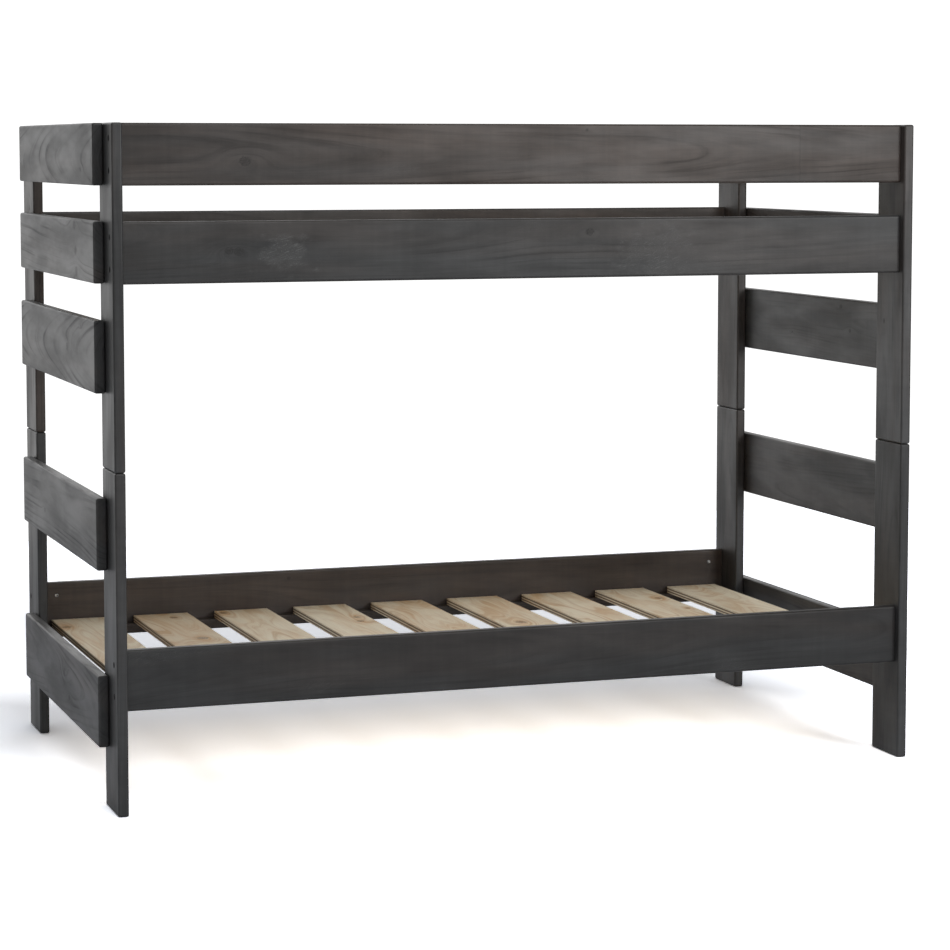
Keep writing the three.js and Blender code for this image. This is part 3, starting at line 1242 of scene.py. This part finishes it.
@dataclass
class BoltSet:
    """The bolts and barrel nuts that hold the rails to the posts, and their drills.

    Attributes:
        socket_width: across the flats of the hexagon socket.
        socket_depth: of the key that cuts it, half of which is in the head.
        nut_recess: from the inner face of the rail down to the nut's face.
        drill_clearance: round a shank and a nut.
        tail: from the nut's middle to the bolt's tip.
        spare: what a hole is deeper than what is in it.
        overrun: how far a drill starts above its hole.
    """

    steel: bpy.types.Material
    head_radius: float = 0.0065
    head_height: float = 0.0045
    head_edge: float = 0.0004
    shank_radius: float = 0.003
    pitch: float = 0.001
    threaded: float = 0.026
    thread_depth: float = 0.0005
    tip_step: float = 0.0008
    socket_width: float = 0.005
    socket_depth: float = 0.006
    counterbore_radius: float = 0.0075
    counterbore_depth: float = 0.008
    nut_radius: float = 0.005
    nut_length: float = 0.018
    nut_edge: float = 0.0005
    nut_slot: Point = (0.0024, 0.0016, 0.02)
    nut_recess: float = 0.0005
    drill_clearance: float = 0.0004
    tail: float = 0.009
    spare: float = 0.0015
    overrun: float = 0.01
    through_post: float = 0.05
    pattern_bolt: str = "rail_bolt_back_left_high"
    pattern_nut: str = "barrel_nut_back_left_high"
    pattern_rail: str = "lower_bed_rail_back"

    def __post_init__(self) -> None:
        """Reads the fastening pattern off the fasteners that the frame holds."""
        bolt_low, bolt_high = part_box(self.pattern_bolt)
        nut_low, nut_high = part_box(self.pattern_nut)
        rail_low, rail_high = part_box(self.pattern_rail)
        self.bolt_length = bolt_high.x - bolt_low.x
        self.from_edge = rail_high.z - (bolt_high.z + bolt_low.z) / 2.0
        self.nut_back = (nut_low.x + nut_high.x) / 2.0 - rail_low.x
        self.head_top_gap = bolt_low.x - rail_low.x
        self.nut_cross = (rail_high.y - rail_low.y) / 2.0 - self.nut_recess
        self.bolt = self.make_bolt()
        self.nut = self.make_nut()

    def fastenings(self, rail: str, side: float) -> list[Fastening]:
        """Works out where a rail's bolts and nuts go.

        Args:
            rail: the rail's node.
            side: -1 for a front rail, 1 for a back one.

        Returns:
            Two fastenings at each end of the rail.
        """
        low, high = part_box(rail)
        heights = {"low": low.z + self.from_edge, "high": high.z - self.from_edge}
        found = []
        for end_name, end in ENDS.items():
            end_face = outer(low.x, high.x, end)
            for level, z in heights.items():
                found.append(Fastening(
                    place=f"{end_name}_{level}",
                    bolt_way=(-end, 0.0, 0.0),
                    bolt_mouth=(end_face, (low.y + high.y) / 2.0, z),
                    nut_way=(0.0, side, 0.0),
                    nut_mouth=(end_face - end * self.nut_back, outer(low.y, high.y, -side), z),
                ))
        return found

    @staticmethod
    def bar(name: str, sides: int, radius: float, depth: float, matrix: Matrix) -> bpy.types.Object:
        """Makes a straight bar to cut with.

        Args:
            name: the object's name.
            sides: number of its sides.
            radius: to its corners.
            depth: its length.
            matrix: where it goes, from the origin and along Z.

        Returns:
            The bar.
        """
        shape = bmesh.new()
        bmesh.ops.create_cone(
            shape, cap_ends=True, segments=sides, radius1=radius, radius2=radius, depth=depth, matrix=matrix
        )
        return new_piece(name, shape)

    def make_bolt(self) -> bpy.types.Mesh:
        """Turns a bolt along X, its head's top at the origin and its shank towards +X.

        Returns:
            The bolt's mesh.
        """
        profile = rod(0.0, self.head_height, self.head_radius, self.head_edge)[:3]
        profile += [(self.head_height, self.head_radius), (self.head_height, self.shank_radius)]
        for turn in range(int(self.threaded / self.pitch) - 1):
            root = self.bolt_length - self.threaded + turn * self.pitch
            groove = (root + self.pitch / 2.0, self.shank_radius - self.thread_depth)
            profile += [(root, self.shank_radius), groove]
        profile += [(self.bolt_length, self.shank_radius - self.tip_step), (self.bolt_length, 0.0)]
        blank = new_piece("rail_bolt_blank", turned(profile, 24))
        corner = self.socket_width / math.sqrt(3.0)
        along = Matrix.Rotation(math.pi / 2.0, 4, "Y")
        cut(blank, [self.bar("hexagon_key", 6, corner, self.socket_depth, along)])
        return self.keep_mesh(blank)

    def make_nut(self) -> bpy.types.Mesh:
        """Turns a barrel nut along X, its slotted face at the origin and its body towards +X.

        Returns:
            The nut's mesh.
        """
        profile = rod(0.0, self.nut_length, self.nut_radius, self.nut_edge)
        blank = new_piece("barrel_nut_blank", turned(profile))
        slot = bmesh.new()
        bmesh.ops.create_cube(slot, size=1.0)
        bmesh.ops.scale(slot, vec=self.nut_slot, verts=slot.verts)
        middle = Matrix.Translation((self.nut_cross, 0.0, 0.0))
        saw = new_piece("slot_saw", slot)
        cut(blank, [saw, self.bar("cross_drill", 24, self.shank_radius, 0.03, middle)])
        return self.keep_mesh(blank)

    @staticmethod
    def keep_mesh(blank: bpy.types.Object) -> bpy.types.Mesh:
        """Keeps an object's mesh and deletes the object."""
        mesh = blank.data
        bpy.data.objects.remove(blank)
        return mesh

    def drill_post(self, outer_face: float, end: float, side: str,
                   rails: tuple[str, ...]) -> list[bpy.types.Object]:
        """Makes the stepped drills for a post's bolt holes.

        Args:
            outer_face: X of the post's outer face.
            end: -1 at the left end of the bed, 1 at the right end.
            side: front or back.
            rails: the rails that are bolted to the post, without their side.

        Returns:
            One tool for each hole.
        """
        profile = rod(-self.overrun, self.counterbore_depth, self.counterbore_radius)[:3]
        narrow = self.shank_radius + self.drill_clearance
        profile += rod(self.counterbore_depth, self.through_post, narrow)[1:]
        return [
            turned_piece("drill", profile, (outer_face, *hole.bolt_mouth[1:]), hole.bolt_way)
            for rail in rails
            for hole in self.fastenings(f"{rail}_{side}", SIDES[side])
            if hole.bolt_way[0] == -end
        ]

    def drill_rail(self, rail: str, side: float) -> list[bpy.types.Object]:
        """Makes the drills for a rail's bolts and barrel nuts.

        Args:
            rail: the rail's node.
            side: -1 for a front rail, 1 for a back one.

        Returns:
            The tools.
        """
        bolt_depth = self.nut_back + self.tail + self.spare
        nut_depth = self.nut_recess + self.nut_length + self.spare
        along = rod(-self.overrun, bolt_depth, self.shank_radius + self.drill_clearance)
        aside = rod(-self.overrun, nut_depth, self.nut_radius + self.drill_clearance)
        tools = []
        for hole in self.fastenings(rail, side):
            tools.append(turned_piece("drill", along, hole.bolt_mouth, hole.bolt_way))
            tools.append(turned_piece("drill", aside, hole.nut_mouth, hole.nut_way))
        return tools

    def fit_rail(self, rail: str, body: str, side: float) -> None:
        """Puts the bolts and nuts in at both ends of a rail.

        Args:
            rail: the rail's node.
            body: the body that it belongs to.
            side: -1 for a front rail, 1 for a back one.
        """
        for hole in self.fastenings(rail, side):
            place = hole.place
            head = (hole.bolt_mouth, hole.bolt_way, self.head_top_gap)
            face = (hole.nut_mouth, hole.nut_way, self.nut_recess)
            bolt = self.put(self.bolt, f"{rail}_bolt_{place}", *head, body)
            nut = self.put(self.nut, f"{rail}_nut_{place}", *face, body)
            if rail == self.pattern_rail:
                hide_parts(f"rail_bolt_back_{place}")
                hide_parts(f"barrel_nut_back_{place}")

    def put(self, pattern: bpy.types.Mesh, name: str, mouth: Point, way: Point, depth: float,
            body: str) -> bpy.types.Object:
        """Puts one fastener in place.

        Args:
            pattern: the fastener's mesh, along +X from the origin.
            name: the piece's name.
            mouth: the middle of its hole's mouth.
            way: the direction that it points in.
            depth: how deep in the hole its origin goes.
            body: the body that it moves with.

        Returns:
            The fastener.
        """
        mesh = pattern.copy()
        mesh.name = name
        sunk = tuple(start + step * depth for start, step in zip(mouth, way))
        mesh.transform(aimed(sunk, way))
        mesh.materials.clear()
        mesh.materials.append(self.steel)
        piece = place_object(name, mesh)
        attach(piece, body)
        LOG.info("%s", name)
        return piece


@dataclass
class StackingPins:
    """The four steel pins that stand in the lower posts and enter the upper ones, and their drills."""

    steel: bpy.types.Material
    radius: float = 0.005
    chamfer: float = 0.0015
    drill_clearance: float = 0.0005
    spare: float = 0.0015

    def build(self) -> None:
        """Turns the pins."""
        for side in SIDES:
            for end in ENDS:
                node = f"stacking_pin_{side}_{end}"
                low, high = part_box(node)
                foot = ((low.x + high.x) / 2.0, (low.y + high.y) / 2.0, low.z)
                profile = rod(0.0, high.z - low.z, self.radius, self.chamfer)
                piece = turned_piece(f"{node}_turned", profile, foot, UPWARDS)
                piece.data.materials.append(self.steel)
                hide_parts(node)
                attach(piece, BED_BODIES["lower"])
                LOG.info("%s", node)

    def drill(self, side: str, end: str) -> bpy.types.Object:
        """Makes the drill for one pin, for the lower and the upper post alike.

        Args:
            side: front or back.
            end: left or right.

        Returns:
            The tool.
        """
        low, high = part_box(f"stacking_pin_{side}_{end}")
        foot = ((low.x + high.x) / 2.0, (low.y + high.y) / 2.0, low.z - self.spare)
        profile = rod(0.0, high.z - low.z + 2.0 * self.spare, self.radius + self.drill_clearance)
        return turned_piece("pin_drill", profile, foot, UPWARDS)


# The beds


@dataclass
class Bed:
    """One plank bed of the pair.

    Attributes:
        name: lower or upper.
        rails: names of its rails, without their side.
        end_boards: names of its end boards, without their end.
        plank_edge: radius of the planks' long edges, and round the ends of posts and end boards.
        rail_end: radius round the ends of the rails.
        strip_edge: radius of the ledgers' edges.
    """

    name: str
    rails: tuple[str, ...]
    end_boards: tuple[str, ...]
    pine: bpy.types.Material
    plywood: bpy.types.Material
    bolts: BoltSet
    pins: StackingPins
    plank_edge: float = 0.005
    rail_end: float = 0.0012
    strip_edge: float = 0.0015
    slat_edge: float = 0.0012
    slat_count: int = 9

    @property
    def body(self) -> str:
        """The body that this bed is."""
        return BED_BODIES[self.name]

    def build(self) -> None:
        """Builds every piece of the bed."""
        self.build_posts()
        self.build_rails()
        self.build_end_boards()
        self.build_deck()

    def board(self, node: str, grain: Axis, edge: float, end: float | None = None) -> Board:
        """Sets out a board of this bed.

        Args:
            node: its node.
            grain: the axis that its grain follows.
            edge: radius of its long edges.
            end: radius round its ends, if it is another one.

        Returns:
            The board.
        """
        return Board(node, self.body, grain, edge, edge if end is None else end, CHOSEN_TIMBER.get(node))

    def build_posts(self) -> None:
        """Shapes, drills and finishes the four posts."""
        for side in SIDES:
            for end_name, end in ENDS.items():
                post = self.board(f"{self.name}_post_{side}_{end_name}", Axis.Z, self.plank_edge)
                piece = post.build()
                tools = self.bolts.drill_post(outer(post.low.x, post.high.x, end), end, side, self.rails)
                cut(piece, tools + [self.pins.drill(side, end_name)])
                post.finish(piece, self.pine, Slot.PINE)

    def build_rails(self) -> None:
        """Shapes, drills and finishes the rails, and fits their bolts."""
        for rail in self.rails:
            for side_name, side in SIDES.items():
                node = f"{rail}_{side_name}"
                plank = self.board(node, Axis.X, self.plank_edge, self.rail_end)
                piece = plank.build()
                cut(piece, self.bolts.drill_rail(node, side))
                plank.finish(piece, self.pine, Slot.PINE)
                self.bolts.fit_rail(node, self.body, side)

    def build_end_boards(self) -> None:
        """Shapes and finishes the end boards."""
        for name in self.end_boards:
            for end in ENDS:
                plank = self.board(f"{name}_{end}", Axis.Y, self.plank_edge)
                plank.finish(plank.build(), self.pine, Slot.PINE)

    def build_deck(self) -> None:
        """Shapes and finishes the ledgers and the slats."""
        for side in SIDES:
            strip = self.board(f"{self.name}_ledger_{side}", Axis.X, self.strip_edge)
            strip.finish(strip.build(), self.pine, Slot.PINE)
        for number in range(1, self.slat_count + 1):
            slat = self.board(f"{self.name}_slat_{number}", Axis.Y, self.slat_edge)
            slat.timber = self.veneer(slat)
            slat.finish(slat.build(), self.plywood, Slot.PLYWOOD)

    @staticmethod
    def veneer(slat: Board) -> Timber:
        """Picks the figure of a slat's peeled face veneer.

        Args:
            slat: the slat.

        Returns:
            Its figure, whose heart is far below, so that its rings lie almost flat in the face.
        """
        sawn = slat.timber or Timber.sawn(slat.node, slat.size.y, slat.size.x)
        return replace(sawn, pith_depth=-0.45, ring=0.0115, taper=0.006)


# The studio


@dataclass(frozen=True)
class Glow:
    """A soft glowing patch of the studio's walls.

    Attributes:
        turn: direction of its middle, in degrees from +Y towards +X.
        height: elevation of its middle, in degrees.
        spread: degrees from its middle to its faded edge.
        strength: how bright its middle is.
        core: share of the spread that is evenly bright.
    """

    turn: float
    height: float
    spread: float
    strength: float
    core: float = 0.25

    @property
    def direction(self) -> Vector:
        """The direction of its middle."""
        turn, height = math.radians(self.turn), math.radians(self.height)
        flat = math.cos(height)
        return Vector((math.sin(turn) * flat, math.cos(turn) * flat, math.sin(height)))


@dataclass(frozen=True)
class SoftBox:
    """A square soft box: its place, what it points at, its side and its power in watts."""

    name: str
    place: Point
    aim: Point
    side: float
    power: float

    def hang(self) -> None:
        """Hangs the soft box."""
        light = bpy.data.lights.new(self.name, "AREA")
        light.shape = "SQUARE"
        light.size = self.side
        light.energy = self.power
        lamp = place_object(self.name, light)
        lamp.location = self.place
        lamp.rotation_euler = (Vector(self.aim) - Vector(self.place)).to_track_quat("-Z", "Y").to_euler()


@dataclass(frozen=True)
class PaintedFloorShadow:
    """A painted shadow on the floor: a part that the camera sees less overexposed than the rest, where the
    bed's shade falls.

    Attributes:
        right: where its middle is, along X.
        back: where its middle is, along Y.
        reach: how much further it goes along X than along Y, to each side.
        core: distance from the middle over which it is even.
        fade: distance at which it has faded out.
        seen: how bright the floor is there, as a multiple of white paper.
    """

    right: float
    back: float
    reach: float
    core: float
    fade: float
    seen: float


@dataclass
class Studio:
    """A pale floor, bright white walls behind the bed, soft lights, and the camera.

    Attributes:
        floor_seen: how bright the camera sees the floor, as a multiple of white paper.
        painted_shadows: painted shadows, where the camera sees the floor less bright under and behind the
            bed.
        floor_bounce: how much of its light the floor throws back.
        wall_white: how bright the camera sees the walls.
        sight: how far the camera sees.
    """

    floor_side: float = 8.0
    floor_seen: float = 3.3
    # painted shadows of the bed on the floor, which only the camera sees
    painted_shadows: tuple[PaintedFloorShadow, ...] = (
        PaintedFloorShadow(right=0.0, back=0.62, reach=0.8, core=0.12, fade=0.68, seen=1.52),
        PaintedFloorShadow(right=0.5, back=1.55, reach=0.5, core=0.6, fade=1.0, seen=1.65),
    )
    floor_bounce: float = 0.92
    floor_tint: Colour = (0.975, 1.0, 1.055)
    wall_white: float = 1.15
    glows: tuple[Glow, ...] = (
        Glow(0.0, 0.0, 50.0, 1.02),
        Glow(0.0, 40.0, 45.0, 0.6),
        Glow(-75.0, 0.0, 50.0, 0.4),
        Glow(-160.0, 10.0, 45.0, 0.6),
        Glow(0.0, 90.0, 60.0, 0.45),
    )
    boxes: tuple[SoftBox, ...] = (
        SoftBox("front_right_box", (3.0, -6.5, 2.3), (0.3, 0.0, 1.0), 2.0, 150.0),
        SoftBox("front_top_box", (0.0, -3.0, 3.6), (0.0, 0.0, 0.6), 2.4, 37.0),
        SoftBox("right_box", (5.2, -4.6, 2.3), (0.3, 0.0, 1.0), 2.0, 10.0),
    )
    eye: Point = (-2.2739, -6.7568, 1.5027)
    turn_right: float = 18.99
    look_down: float = 4.836
    focal_length: float = 107.36
    sensor: float = 36.0
    shift_up: float = -0.091
    sight: float = 100.0

    def build(self) -> None:
        """Sets up the whole studio."""
        self.build_floor()
        self.build_walls()
        for box in self.boxes:
            box.hang()
        self.build_camera()
        bpy.context.scene.view_settings.view_transform = "Standard"

    def build_floor(self) -> None:
        """Lays the floor, which is overexposed to the camera, as a white sweep is, with painted shadows under
        and behind the bed.
        """
        shape = bmesh.new()
        bmesh.ops.create_grid(shape, x_segments=1, y_segments=1, size=self.floor_side / 2.0)
        floor = new_piece("studio_floor", shape)
        bench = Finish("studio_paper")
        right, back, _ = bench.split(bench.read("ShaderNodeTexCoord", "Object"))
        exposed: Signal | float = self.floor_seen
        # painted shadows: the camera sees the floor darker where the bed's shade falls; the light that the
        # floor throws back stays even
        for shade in self.painted_shadows:
            outside = bench.most(abs(back - shade.back), abs(right - shade.right) - shade.reach)
            level = bench.range(outside, shade.core, shade.fade, shade.seen, self.floor_seen, "LINEAR")
            exposed = bench.math("MINIMUM", level, exposed)
        seen = bench.read("ShaderNodeLightPath", "Is Camera Ray")
        level = seen * (exposed - self.floor_bounce) + self.floor_bounce
        paper = bench.vector("MULTIPLY", bench.join(level, level, level), self.floor_tint)
        floor.data.materials.append(
            bench.shade({"Base Color": paper, "Roughness": 1.0, "Specular IOR Level": 0.0})
        )

    def build_walls(self) -> None:
        """Lights the world with the glowing patches; the camera sees plain white."""
        world = bpy.data.worlds.new("studio_world")
        bpy.context.scene.world = world
        world.use_nodes = True
        bench = Bench(world.node_tree)
        background = world.node_tree.nodes["Background"]
        background.inputs["Color"].default_value = (1.0, 1.0, 1.0, 1.0)
        towards = bench.read("ShaderNodeTexCoord", "Generated")
        level: Signal | float = 0.0
        for glow in self.glows:
            facing = bench.vector("DOT_PRODUCT", towards, glow.direction, output="Value")
            edge, core = (math.cos(math.radians(glow.spread * share)) for share in (1.0, glow.core))
            level = bench.range(facing, edge, core, 0.0, glow.strength) + level
        seen = bench.read("ShaderNodeLightPath", "Is Camera Ray")
        bench.feed(background.inputs["Strength"], level * (1.0 - seen) + seen * self.wall_white)

    def build_camera(self) -> None:
        """Sets up the camera at the front left, at about the height of the guard rail."""
        camera = bpy.data.cameras.new("product_camera")
        camera.sensor_width = self.sensor
        camera.lens = self.focal_length
        camera.shift_y = self.shift_up
        camera.clip_end = self.sight
        stand = place_object("product_camera", camera)
        stand.location = self.eye
        stand.rotation_euler = (math.radians(90.0 - self.look_down), 0.0, math.radians(-self.turn_right))
        bpy.context.scene.camera = stand


def main() -> None:
    """Builds the bunk bed, piece by piece, and its studio."""
    logging.basicConfig(level=logging.INFO, format="%(name)s: %(message)s")
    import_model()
    Studio().build()
    effects = WoodEffects()
    finishes = (StainedPine().build(effects), SlatPlywood().build(effects))
    steel = ZincSteel().build()
    bolts, pins = BoltSet(steel), StackingPins(steel)
    pins.build()
    upper_boards = ("upper_rung_board", "bed_end_board", "guard_end_board")
    for name, rails, boards in (
        ("lower", ("lower_bed_rail",), ("lower_rung_board", "middle_rung_board")),
        ("upper", ("upper_bed_rail", "guard_rail"), upper_boards),
    ):
        Bed(name, rails, boards, *finishes, bolts, pins).build()
    bpy.context.view_layer.update()


if __name__ == "__main__":
    main()
